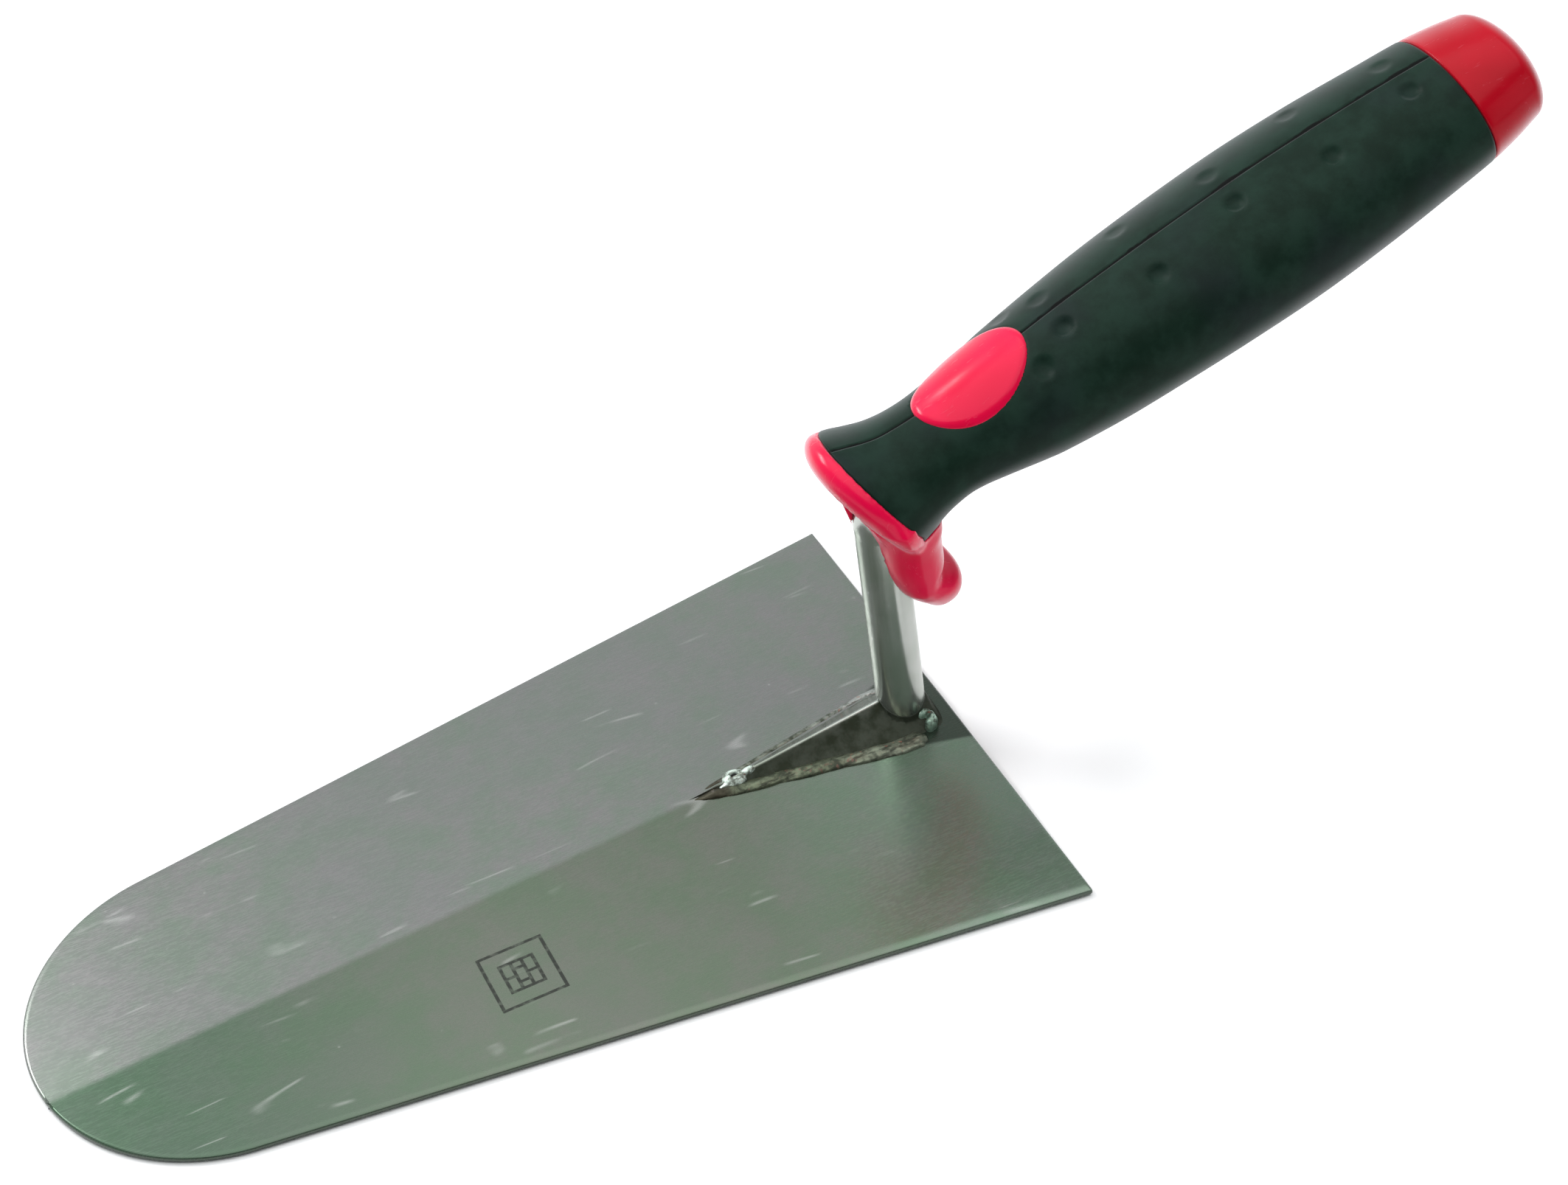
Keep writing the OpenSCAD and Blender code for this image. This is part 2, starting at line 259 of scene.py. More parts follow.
class Paint:
    """A Principled material and short calls for the nodes that feed it."""

    def __init__(self, name):
        self.material = bpy.data.materials.new(name)
        self.material.use_nodes = True
        self.tree = self.material.node_tree
        self.shader = self.tree.nodes["Principled BSDF"]
        self.place = self.tree.nodes.new("ShaderNodeTexCoord").outputs["Object"]

    def node(self, kind, **settings):
        """A new node with the given settings."""
        made = self.tree.nodes.new(kind)
        for key, value in settings.items():
            setattr(made, key, value)
        return made

    def feed(self, socket, value):
        """Links a socket or sets a constant."""
        if isinstance(value, bpy.types.NodeSocket):
            self.tree.links.new(value, socket)
        else:
            socket.default_value = value

    def scaled(self, scale=(1.0, 1.0, 1.0), turn=0.0):
        """Object coordinates, turned about Z by degrees and stretched."""
        made = self.node("ShaderNodeMapping")
        self.feed(made.inputs["Vector"], self.place)
        made.inputs["Scale"].default_value = scale
        made.inputs["Rotation"].default_value = (0.0, 0.0, math.radians(turn))
        return made.outputs["Vector"]

    def noise(self, vector, scale, detail, rough, distortion=0.0):
        """Cloudy noise from zero to one."""
        made = self.node("ShaderNodeTexNoise")
        self.feed(made.inputs["Vector"], vector)
        made.inputs["Scale"].default_value = scale
        made.inputs["Detail"].default_value = detail
        made.inputs["Roughness"].default_value = rough
        made.inputs["Distortion"].default_value = distortion
        return made.outputs["Fac"]

    def cells(self, vector, scale):
        """Distance to the nearest of many scattered points."""
        made = self.node("ShaderNodeTexVoronoi")
        self.feed(made.inputs["Vector"], vector)
        made.inputs["Scale"].default_value = scale
        return made.outputs["Distance"]

    def math(self, operation, *values):
        """Arithmetic on sockets and numbers."""
        made = self.node("ShaderNodeMath", operation=operation)
        for socket, value in zip(made.inputs, values):
            self.feed(socket, value)
        return made.outputs["Value"]

    def ramp(self, value, low, high, out_low=0.0, out_high=1.0):
        """Smooth step of value from low..high to out_low..out_high."""
        made = self.node("ShaderNodeMapRange", interpolation_type="SMOOTHSTEP")
        self.feed(made.inputs["Value"], value)
        for key, number in zip(RANGE_SOCKETS, (low, high, out_low, out_high)):
            made.inputs[key].default_value = number
        return made.outputs["Result"]

    def times(self, first, second):
        """Product of two sockets or numbers."""
        return self.math("MULTIPLY", first, second)

    def mix(self, share, first, second, blend_type="MIX"):
        """Colour that goes from first to second as share goes from zero to one."""
        made = self.node("ShaderNodeMix", data_type="RGBA", blend_type=blend_type)
        self.feed(made.inputs[0], share)
        self.feed(made.inputs[6], first)
        self.feed(made.inputs[7], second)
        return made.outputs[2]

    def tint(self, share, first, second):
        """Multiplies first by second where share is one."""
        return self.mix(share, first, second, "MULTIPLY")

    def axes(self):
        """Object coordinates in metres."""
        made = self.node("ShaderNodeSeparateXYZ")
        self.feed(made.inputs["Vector"], self.place)
        return made.outputs["X"], made.outputs["Y"], made.outputs["Z"]

    def glancing(self, straight, edge_on):
        """Value that rises from straight-on to edge-on views, for gloss."""
        made = self.node("ShaderNodeLayerWeight")
        made.inputs["Blend"].default_value = 0.5
        return self.ramp(made.outputs["Facing"], 0.35, 0.95, straight, edge_on)

    def facing_up(self):
        """Upward share of the surface normal."""
        made = self.node("ShaderNodeSeparateXYZ")
        self.feed(made.inputs["Vector"], self.node("ShaderNodeNewGeometry").outputs["True Normal"])
        return self.math("ABSOLUTE", made.outputs["Z"])

    def bump(self, height, strength, distance_mm, under=None):
        """Normal bent by height, over another bump if given."""
        made = self.node("ShaderNodeBump")
        made.inputs["Strength"].default_value = strength
        made.inputs["Distance"].default_value = distance_mm * MM
        self.feed(made.inputs["Height"], height)
        if under is not None:
            self.feed(made.inputs["Normal"], under)
        return made.outputs["Normal"]

    def finish(self, **inputs):
        """Feeds the named shader sockets."""
        for key, value in inputs.items():
            self.feed(self.shader.inputs[key.replace("_", " ")], value)
        return self.material


def colour(red, green, blue):
    return (red, green, blue, 1.0)


def grey(level):
    return colour(level, level, level)


# --- blade -------------------------------------------------------------------

BLADE_LOW, BLADE_HIGH = (np.array(c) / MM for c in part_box("blade"))
BLADE_LEN = -BLADE_LOW[0]
HALF_W = BLADE_HIGH[1]
RIDGE_T = BLADE_HIGH[2]
NOSE_R, NOSE_SQUASH = 36.7, 0.956
SIDE_DROP, NOSE_DROP = 1.1, 0.8
RIDGE_FROM_X, RIDGE_DRIFT = -50.0, 0.064
# Centre and half sizes of the ink mark.
MARK = (-95.6, -23.4, 6.0, 6.7)


def ridge_y(x):
    """The ground ridge leaves the centre line at the toe and drifts to the near side."""
    return -RIDGE_DRIFT * np.maximum(0.0, RIDGE_FROM_X - x)


def blade_top(x, y):
    """Height of the two ground faces."""
    return RIDGE_T + NOSE_DROP * x / BLADE_LEN - SIDE_DROP * np.abs(y - ridge_y(x)) / HALF_W


def blade_outline(count):
    """Points along one side from heel corner to ridge end, for the far side and the near side."""
    centre = -BLADE_LEN + NOSE_R * NOSE_SQUASH
    reach = -centre / NOSE_SQUASH
    start = math.atan2(HALF_W, reach) + math.acos(NOSE_R / math.hypot(reach, HALF_W))
    apex_y = float(ridge_y(np.array(-BLADE_LEN)))
    apex = math.pi - math.asin(apex_y / NOSE_R)
    sides = []
    for sign, end in ((1, apex), (-1, 2 * math.pi - apex)):
        angles = np.linspace(start, end, 240)
        arc = np.stack([
            centre + NOSE_SQUASH * NOSE_R * np.cos(angles), sign * NOSE_R * np.sin(angles)
        ], 1)
        line = np.vstack([[0.0, sign * HALF_W], arc])
        steps = np.r_[0.0, np.cumsum(np.linalg.norm(np.diff(line, axis=0), axis=1))]
        at = np.linspace(0.0, steps[-1], count)
        sides.append(np.stack([np.interp(at, steps, line[:, i]) for i in (0, 1)], 1))
    return sides


def inward(side, sign):
    """Unit normals of an outline side that point into the blade."""
    along = np.gradient(side, axis=0)
    along /= np.linalg.norm(along, axis=1)[:, None]
    return np.stack([-along[:, 1], along[:, 0]], 1) * sign


def make_blade():
    """Ruled plate from the ridge to the outline, with a rounded, slightly worn edge."""
    count, across = 230, 34
    far, near = blade_outline(count)
    rows = []
    ridge_x = np.linspace(0.0, -BLADE_LEN, count)
    ease = np.linspace(0.0, 1.0, count) ** 3
    profile = ((0.45, 1.0, 0.0), (0.2, 1.0, 0.08), (0.06, 1.0, 0.22), (0.0, 0.5, 0.0),
               (0.06, 0.0, -0.22), (0.2, 0.0, -0.08), (0.45, 0.0, 0.0))
    for k in range(count):
        row = []
        foot = np.array([far[k, 0] * (1 - ease[k]) + ridge_x[k] * ease[k], 0.0])
        foot[1] = ridge_y(foot[0])
        if k == count - 1:
            foot = far[k] * 0.995 + near[k] * 0.005
        for side, sign in ((far, 1), (near, -1)):
            normal = inward(side, sign)[k]
            if k == 0:
                normal = np.array([0.0, -sign])
            inner = side[k] + normal * profile[0][0]
            strip = []
            for t in np.linspace(0.0, 1.0, across, endpoint=False):
                p = foot * (1 - t) + inner * t
                strip.append([p[0], p[1], blade_top(p[0], p[1])])
            for inset, share, drop in profile:
                p = side[k] + normal * inset
                strip.append([p[0], p[1], blade_top(p[0], p[1]) * share - drop])
            for t in np.linspace(1.0, 0.0, 7)[1:]:
                p = foot * (1 - t) + inner * t
                strip.append([p[0], p[1], 0.0])
            row.append(np.array(strip))
        loop = np.vstack([row[0], row[1][::-1][1:-1]])
        rows.append(loop)
    heel_inset = rows[0].copy()
    rows[0][:, 0] = -0.35
    heel_inset[:, 2] = rows[0][:, 2] * 0.72 + 0.32
    heel_inset[:, 0] = -0.02
    return skin("blade_plate", [heel_inset] + rows)


def blade_material():
    """Ground steel: cloudy grey-green, fine straight scratches, specks and ink mark, with painted
    shade on the near face and edges and a painted shadow behind the post.
    """
    p = Paint("ground_steel")
    x, y, _ = p.axes()
    cloud = p.noise(p.scaled(), 90.0, 6.0, 0.7)
    patch = p.noise(p.scaled((1.0, 1.4, 1.0), 20), 22.0, 3.0, 0.5, 0.6)
    grain = p.noise(p.scaled((1.0, 9.0, 1.0), 8), 420.0, 3.0, 0.7)
    fine = p.noise(p.scaled(), 1500.0, 2.0, 0.6)
    green, plum = colour(0.150, 0.190, 0.150), colour(0.19, 0.185, 0.182)
    base = p.mix(p.ramp(cloud, 0.32, 0.68), green, plum)
    base = p.mix(p.times(p.ramp(patch, 0.4, 0.7), 0.5), base, colour(0.175, 0.178, 0.175))
    base = p.mix(p.times(p.ramp(fine, 0.3, 0.7), 0.3), base, colour(0.145, 0.172, 0.148))
    # Painted shade: the near ground face is painted darker and greener towards the nose, less so
    # towards the heel, for the darker reflection it shows.
    crest = p.times(RIDGE_DRIFT,
                   p.math("MAXIMUM", 0.0, p.math("SUBTRACT", RIDGE_FROM_X * MM, x)))
    side = p.ramp(p.math("ADD", y, crest), -0.0012, 0.0008, 1.0, 0.0)
    noseward = p.ramp(x, -0.175, -0.09, 1.0, 0.0)
    heelward = p.ramp(x, -0.055, -0.012)
    near_face_painted_shade = p.mix(noseward, colour(0.63, 0.69, 0.58), colour(0.33, 0.53, 0.37))
    near_face_painted_shade = p.mix(heelward, near_face_painted_shade, colour(0.82, 1.02, 0.86))
    base = p.tint(side, base, near_face_painted_shade)
    # Scratches: thin bright lines in three directions.
    lines = None
    for turn, scale, width in ((12, 95.0, 0.02), (-38, 70.0, 0.014), (71, 60.0, 0.012)):
        warp = p.noise(p.scaled(turn=turn), 60.0, 2.0, 0.5)
        field = p.noise(p.scaled((0.12, 1.0, 1.0), turn), scale, 1.0, 0.4, 0.3)
        line = p.ramp(p.math("ABSOLUTE", p.math("SUBTRACT", field, 0.5)), 0.0, width, 1.0, 0.0)
        line = p.times(line, p.ramp(warp, 0.6, 0.7))
        lines = line if lines is None else p.math("MAXIMUM", lines, line)
    base = p.mix(p.times(lines, 0.24), base, colour(0.6, 0.6, 0.58))
    specks = p.ramp(p.cells(p.scaled(), 160.0), 0.03, 0.07, 1.0, 0.0)
    specks = p.times(specks, p.ramp(cloud, 0.5, 0.62))
    base = p.mix(p.times(specks, 0.5), base, colour(0.5, 0.52, 0.48))
    # Painted shadow of the post and guard, between the post and the heel edge.
    post_shadow_reach = p.math("SUBTRACT", p.math("ABSOLUTE", y),
                    p.math("ADD", 0.0102, p.times(0.3, p.math("ADD", x, 0.0084))))
    tint = p.times(p.ramp(post_shadow_reach, -0.0006, 0.0004, 1.0, 0.0), p.ramp(x, -0.0125, -0.0095))
    base = p.mix(p.times(tint, 0.9), base, colour(0.022, 0.034, 0.022))
    # Ink mark: a framed brick bond.
    ink = mark_mask(p, x, y)
    worn = p.ramp(p.noise(p.scaled(), 700.0, 2.0, 0.6), 0.3, 0.55)
    ink = p.times(ink, p.math("ADD", 0.55, p.times(worn, 0.45)))
    base = p.mix(ink, base, colour(0.02, 0.024, 0.018))
    # Painted shade: the steep side faces of the edge are painted dark.
    edge = p.ramp(p.facing_up(), 0.35, 0.75, 0.8, 0.0)
    base = p.mix(edge, base, colour(0.06, 0.075, 0.06))

    rough = p.ramp(grain, 0.3, 0.7, 0.2, 0.28)
    rough = p.math("ADD", rough, p.times(cloud, 0.05))
    rough = p.math("ADD", rough, p.times(ink, 0.3))
    flat = p.bump(grain, 0.08, 0.02)
    flat = p.bump(fine, 0.1, 0.015, flat)
    flat = p.bump(p.math("SUBTRACT", 0.0, lines), 0.25, 0.02, flat)
    wave = p.noise(p.scaled(), 45.0, 2.0, 0.4)
    flat = p.bump(wave, 0.2, 0.3, flat)
    return p.finish(Base_Color=base, Metallic=0.55, Roughness=rough, Normal=flat)


def mark_mask(p, x, y):
    """One where the ink is: a rectangle outline with three courses of bricks inside."""
    cx, cy, hx, hy = (v * MM for v in MARK)
    line, soft = 0.32 * MM, 0.06 * MM
    u = p.math("SUBTRACT", x, cx)
    v = p.math("SUBTRACT", y, cy)

    def band(value, centre, half):
        gap = p.math("ABSOLUTE", p.math("SUBTRACT", value, centre))
        return p.ramp(gap, half - soft, half + soft, 1.0, 0.0)

    def both(a, b):
        return p.times(a, b)

    def either(a, b):
        return p.math("MAXIMUM", a, b)

    reach = p.math("MAXIMUM",
                   p.math("SUBTRACT", p.math("ABSOLUTE", u), hx),
                   p.math("SUBTRACT", p.math("ABSOLUTE", v), hy))
    ink = p.ramp(p.math("ABSOLUTE", reach), line - soft, line + soft, 1.0, 0.0)
    wide, tall = hx * 0.52, hy * 0.5
    for k in range(4):
        course = band(u, -wide + 2 * wide * k / 3, line)
        ink = either(ink, both(course, band(v, 0.0, tall + line)))
    for k in range(3):
        here = band(u, -wide + wide * (2 * k + 1) / 3, wide / 3)
        joints = (-tall, 0.0, tall) if k % 2 == 0 else (-tall, -tall / 2, tall / 2, tall)
        for at in joints:
            ink = either(ink, both(here, band(v, at, line)))
    return ink


# --- handle shape ------------------------------------------------------------

TILT = math.radians(17.5)
POST_X, KNEE_Z, KNEE_S = -8.5, 56.2, 40.0
POST_R, BEND_R, BEND_SWELL = 4.6, 12.0, 0.4
TANG_LEN, TANG_TIP_R = 88.0, 2.5
GRIP_T, CAP_S = 2.4, 84.0
PAD = (-15.6, 11.8, 9.3)
DOME_S, DOME_RISE, DOME_HALF_W, DOME_UP, DOME_DOWN = 94.5, 5.1, 13.25, 9.55, 10.05
WEB_Z, WEB_Y = 49.3, 0.8
AXIS = np.array([math.cos(TILT), 0.0, math.sin(TILT)])
RISE = np.array([-math.sin(TILT), 0.0, math.cos(TILT)])
KNEE = np.array([POST_X, 0.0, KNEE_Z])
# Handle stations: distance along the axis, upper half height, half width, lower half height.
BARREL = np.array([
    [-45.5, 14.4, 14.9, 11.5], [-44, 14.2, 15.1, 11.2], [-41, 12.9, 15.1, 10.6],
    [-38, 11.5, 14.1, 10.1], [-35, 10.5, 12.9, 9.9], [-32, 10.1, 12.0, 9.2],
    [-29, 9.9, 11.6, 8.6], [-26, 9.85, 11.6, 8.2], [-23, 9.95, 11.9, 8.6],
    [-20, 10.2, 12.4, 9.3], [-16, 10.6, 13.2, 10.2], [-12, 10.95, 13.95, 11.2],
    [-8, 11.3, 14.7, 11.9], [4, 12.3, 16.15, 13.0], [16, 12.9, 17.4, 13.0],
    [30, 13.3, 18.1, 13.4], [45, 13.4, 18.3, 13.7], [60, 12.9, 17.65, 13.3],
    [75, 11.9, 16.3, 12.7], [84, 11.1, 15.6, 11.8], [90, 10.4, 14.5, 11.0],
    [94.5, 9.6, 13.3, 10.1],
])
# Finger guard stations: height, front face, rear face, half width.
GUARD = np.array([
    [-30, -40, -38.3, 1.4], [-29.6, -40.8, -37.2, 3], [-28.6, -41.8, -35.8, 5],
    [-27, -42.8, -34.6, 6.9], [-25, -43.8, -33.7, 8.2], [-23, -44.9, -33.9, 9],
    [-21.5, -45.4, -35.6, 9.3], [-20, -45.8, -37, 9.6], [-17, -46.2, -34.9, 10],
    [-14, -46.1, -34, 10.4], [-11, -45.6, -33.1, 10.8], [-8, -45.1, -32, 11.4],
    [-4, -44.2, -34, 12.2], [0, -43.4, -36, 12.6],
])
EDGE_S, EDGE_SLANT = -39.4, math.tan(math.radians(17.0))
LIP_PEAK, LIP_FRONT, LIP_SHARE, LIP_LEAN = -0.8, -5.0, 0.5, 0.06
# Roundness of the guard's section, where it stops shaping the handle, and how it blends in.
GUARD_POWER, GUARD_TO_S = 2.35, -26.0
FLOW_S, FLOW_WIDTH = (-41.5, -38.0), (4.5, 1.0)
# Hidden edge of the grip inside the guard, and how proud the red root stands where it shows.
GRIP_LAST_S, SWEEP_HALF, SWEEP_S, SWEEP_RUN = -38.5, 46.0, -34.0, 4.4
ROOT_FROM = 0.12


def smooth(table, s, column):
    """Smooth value of a column at s, as the CAD has it."""
    s = np.asarray(s, float)
    at, value = table[:, 0], table[:, column]
    last = len(at) - 1
    k = np.clip(np.searchsorted(at, s, side="left") - 1, 0, last - 1)

    def slope(i):
        a, b = np.maximum(i - 1, 0), np.minimum(i + 1, last)
        return (value[b] - value[a]) / (at[b] - at[a])

    h = at[k + 1] - at[k]
    u = (s - at[k]) / h
    return (value[k] * (1 + 2 * u) * (1 - u) ** 2 + value[k + 1] * u * u * (3 - 2 * u)
            + slope(k) * h * u * (1 - u) ** 2 - slope(k + 1) * h * u * u * (1 - u))


def on_handle(s, y, n):
    """Handle coordinates to millimetres in the row frame."""
    s, y, n = np.broadcast_arrays(*(np.asarray(v, float) for v in (s, y, n)))
    out = KNEE + (KNEE_S + s)[..., None] * AXIS + n[..., None] * RISE
    out[..., 1] += y
    return out


def half_height(s, up):
    """Upper or lower half height of the section."""
    return np.where(up, smooth(BARREL, s, 1), smooth(BARREL, s, 3))


def barrel_field(s, y, n):
    """Radial distance outside the barrel and its rounded front lip."""
    at = np.maximum(s, BARREL[0, 0])
    ahead = s + EDGE_SLANT * n - EDGE_S
    tip = LIP_FRONT - LIP_LEAN * n
    turn_in = np.clip((LIP_PEAK - ahead) / (LIP_PEAK - tip), 0.0, 1.0)
    share = LIP_SHARE + (1 - LIP_SHARE) * np.sqrt(1 - turn_in ** 2)
    reach = np.hypot(y, n) + 1e-6
    size = np.hypot(y / smooth(BARREL, at, 2), n / half_height(at, n > 0)) + 1e-6
    return np.maximum(reach * (1 - share / size), tip - ahead)


def guard_field(s, y, n):
    """Approximate distance outside the finger guard."""
    at = np.clip(n, GUARD[0, 0], GUARD[-1, 0])
    front, rear, half = (smooth(GUARD, at, c) for c in (1, 2, 3))
    depth = (rear - front) / 2
    size = (np.abs((s - (front + rear) / 2) / depth) ** GUARD_POWER
            + np.abs(y / half) ** GUARD_POWER) ** (1 / GUARD_POWER)
    beside = (size - 1) * np.minimum(depth, half)
    return np.where(n == at, beside, np.maximum(beside, np.abs(n - at)))


def blend(a, b, width):
    """Smooth union of two fields."""
    h = np.clip(0.5 + 0.5 * (b - a) / width, 0.0, 1.0)
    return b + (a - b) * h - width * h * (1 - h)


def outer_field(s, y, n):
    """Barrel and guard; they flow together at the front and meet more sharply at the rear."""
    width = np.interp(s, FLOW_S, FLOW_WIDTH)
    return blend(barrel_field(s, y, n), guard_field(s, y, n), width)


def barrel_point(s, angle, inset=0.0):
    """Point on the handle's surface in the direction of angle, moved inwards by inset."""
    high, wide = half_height(s, np.sin(angle) > 0), smooth(BARREL, s, 2)
    y, n = wide * np.cos(angle), high * np.sin(angle)
    reach = np.hypot(y, n)
    for _ in range(6):
        gap = np.maximum(outer_field(s, y, n), barrel_field(s, y, n) - ROOT_FROM)
        gap = np.where(s < GUARD_TO_S, gap, 0.0)
        y, n = y - gap * y / reach, n - gap * n / reach
        reach = np.hypot(y, n)
    ny, nn = np.cos(angle) / wide, np.sin(angle) / high
    size = np.hypot(ny, nn)
    return on_handle(s, y - inset * ny / size, n - inset * nn / size)


def section_angles(count, seam_steps=(0.25, 0.6, 1.1, 1.7, 2.5)):
    """Even angles, with more of them beside the top and bottom parting lines."""
    angles = list(np.arange(count) * 360.0 / count)
    for seam in (90.0, 270.0):
        for step in seam_steps:
            angles += [seam - step, seam + step]
        angles.append(seam)
    return np.radians(np.array(sorted(set(np.round(angles, 4)))))


def grip_front(angle):
    """Where the black grip begins: a slanted edge on top, and a sweep back round the finger guard."""
    s = np.full_like(angle, EDGE_S)
    for _ in range(30):
        s = EDGE_S - EDGE_SLANT * half_height(s, np.sin(angle) > 0) * np.sin(angle)
    s = np.minimum(s, GRIP_LAST_S)
    below = np.abs(np.degrees(angle) - 270.0) / SWEEP_HALF
    return np.where(below < 1.0, np.maximum(s, SWEEP_S - SWEEP_RUN * below ** 2), s)


DIMPLES = [(2.5 + 18.5 * k, 4.8 if k % 2 == 0 else 7.6) for k in range(5)] + [(-4.6, 8.4)]
DIMPLE_R, DIMPLE_DEPTH, FAR_SHARE = 2.1, 0.95, 0.3
SEAM_DEPTH, SEAM_HALF = 0.3, 0.5


def grip_relief(s, angle):
    """Depth of the grip's surface below the plain barrel: dimples, parting line, pad recess."""
    y = smooth(BARREL, s, 2) * np.cos(angle)
    top = np.sin(angle) > 0
    depth = np.zeros_like(s)
    for at, aside in DIMPLES:
        for sign in (-1, 1):
            r = np.hypot(s - at, y - sign * aside) / DIMPLE_R
            deep = DIMPLE_DEPTH if sign < 0 else DIMPLE_DEPTH * FAR_SHARE
            depth += np.where(top & (r < 1), deep * (1 - np.minimum(r, 1) ** 2.6), 0.0)
    seam_gap = np.abs(np.abs(np.sin(angle)) - 1.0)
    gap_mm = np.sqrt(2 * seam_gap) * smooth(BARREL, s, 2)
    depth += SEAM_DEPTH * np.clip(1 - gap_mm / SEAM_HALF, 0, 1)
    centre, half_l, half_w = PAD
    reach = np.hypot((s - centre) / half_l, y / half_w)
    depth += np.where(top, 1.9 * np.clip((0.97 - reach) / 0.07, 0, 1), 0.0)
    return depth


def make_grip():
    """Soft sleeve with rolled ends."""
    angle = section_angles(176)
    start = grip_front(angle)
    rings = []
    for inset, ahead in ((2.3, 0.45), (1.2, 0.1), (0.5, 0.06), (0.18, 0.16), (0.04, 0.34)):
        rings.append(barrel_point(start + ahead, angle, inset))
    for f in np.linspace(0.0, 1.0, 236):
        s = (start + 0.6) * (1 - f) + (CAP_S - 0.6) * f
        rings.append(barrel_point(s, angle, grip_relief(s, angle)))
    for inset, behind in ((0.04, 0.34), (0.18, 0.16), (0.5, 0.06), (2.3, 0.05)):
        rings.append(barrel_point(np.full_like(angle, CAP_S - behind), angle, inset))
    for f in np.linspace(1.0, 0.0, 14):
        s = (start + 0.8) * (1 - f) + (CAP_S - 0.3) * f
        rings.append(barrel_point(s, angle, 2.35))
    return skin("soft_grip", rings, loop=True)


def make_pad():
    """Raised oval on top of the core, with a rounded rim that dips into the grip's recess."""
    centre, half_l, half_w = PAD
    around = np.radians(np.arange(0, 360, 3.0))
    rings = []
    for rho in np.r_[0.02, np.linspace(0.06, 0.86, 18), np.linspace(0.88, 1.0, 12)]:
        s = centre + rho * half_l * np.cos(around)
        y = rho * half_w * np.sin(around)
        high, wide = smooth(BARREL, s, 1), smooth(BARREL, s, 2)
        level = high * np.sqrt(np.clip(1 - (y / wide) ** 2, 0, 1))
        edge = np.sqrt(np.clip(1 - np.clip((rho - 0.88) / 0.12, 0, 1) ** 2, 0, 1))
        crown = 0.55 + 0.25 * (1 - rho ** 2)
        rings.append(on_handle(s, y, level + (crown + 0.35) * edge - 0.35))
    s = centre + half_l * np.cos(around)
    y = half_w * np.sin(around)
    level = smooth(BARREL, s, 1) * np.sqrt(1 - (y / smooth(BARREL, s, 2)) ** 2)
    rings.append(on_handle(s, y, level - 1.6))
    return skin("thumb_pad", rings)


def surface_net(name, field, low, high, step):
    """Shell of the zero level of field over a box in handle coordinates."""
    axes = [np.arange(a, b + step, step) for a, b in zip(low, high)]
    grid = np.stack(np.meshgrid(*axes, indexing="ij"), -1)
    value = field(*np.moveaxis(grid, -1, 0))
    inside = value < 0
    shape = tuple(n - 1 for n in value.shape)
    total, hits = np.zeros(shape + (3,)), np.zeros(shape)
    corners = [(i, j, k) for i in (0, 1) for j in (0, 1) for k in (0, 1)]
    part = lambda a, c: a[c[0]:c[0] + shape[0], c[1]:c[1] + shape[1], c[2]:c[2] + shape[2]]
    for c in corners:
        for axis in range(3):
            if c[axis]:
                continue
            d = tuple(v + (axis == i) for i, v in enumerate(c))
            va, vb = part(value, c), part(value, d)
            cross = part(inside, c) != part(inside, d)
            share = np.where(cross, va / np.where(cross, va - vb, 1.0), 0.0)[..., None]
            spot = part(grid, c) + share * (part(grid, d) - part(grid, c))
            total += np.where(cross[..., None], spot, 0.0)
            hits += cross
    used = hits > 0
    index = np.full(shape, -1)
    index[used] = np.arange(used.sum())
    points = total[used] / hits[used][:, None]
    faces = []
    for axis in range(3):
        b, c = (axis + 1) % 3, (axis + 2) % 3
        first = [slice(1, -1)] * 3
        first[axis] = slice(0, -1)
        second = list(first)
        second[axis] = slice(1, None)
        cross = inside[tuple(first)] != inside[tuple(second)]
        at = np.argwhere(cross)
        at += np.array([0 if i == axis else 1 for i in range(3)])
        quad = []
        for db, dc in ((0, 0), (1, 0), (1, 1), (0, 1)):
            cell = at.copy()
            cell[:, b] -= db
            cell[:, c] -= dc
            quad.append(index[tuple(cell.T)])
        faces += np.stack(quad, 1).tolist()
    shell = build(name, on_handle(*points.T), faces)
    weld_normals(shell)
    return shell


def post_field(s, y, n):
    """Distance outside the post, the bend and the tang."""
    place = on_handle(s, y, n)
    x, z = place[..., 0] - POST_X, place[..., 2]
    turn = math.pi / 2 - TILT
    leg = BEND_R * math.tan(turn / 2)
    around = np.arctan2(z - (KNEE_Z - leg), BEND_R - x)
    ring = np.hypot(np.hypot(x - BEND_R, z - (KNEE_Z - leg)) - BEND_R, y) - POST_R - BEND_SWELL
    upright = np.hypot(x, y) - POST_R
    tang = np.hypot(y, n) - POST_R
    return np.where(around < 0, upright, np.where(around > turn, tang, ring))


def core_field(s, y, n):
    """Red moulding at the front: lip, finger guard and web, sunk where the grip covers it."""
    angle = np.arctan2(n / half_height(s, n > 0), y / smooth(BARREL, s, 2)) % (2 * math.pi)
    table = np.linspace(0.0, 2 * math.pi, 721)
    start = np.interp(angle, table, grip_front(table))
    outer = outer_field(s, y, n)
    proud = np.clip((barrel_field(s, y, n) - outer - ROOT_FROM) / 0.15, 0.0, 1.0)
    sunk = np.clip((s - start) / 0.5, 0.0, 1.0) * (1.0 - proud) * (GRIP_T + 0.1)
    body = outer + sunk
    place = on_handle(s, y, n)
    z = place[..., 2]
    cone = np.hypot(place[..., 0] - POST_X, y) - (POST_R + 0.15 + 0.24 * (z - WEB_Z))
    web = np.maximum.reduce([cone, WEB_Z - z, z - KNEE_Z, WEB_Y - y])
    return np.maximum(blend(body, web, 0.6), 0.02 - post_field(s, y, n))


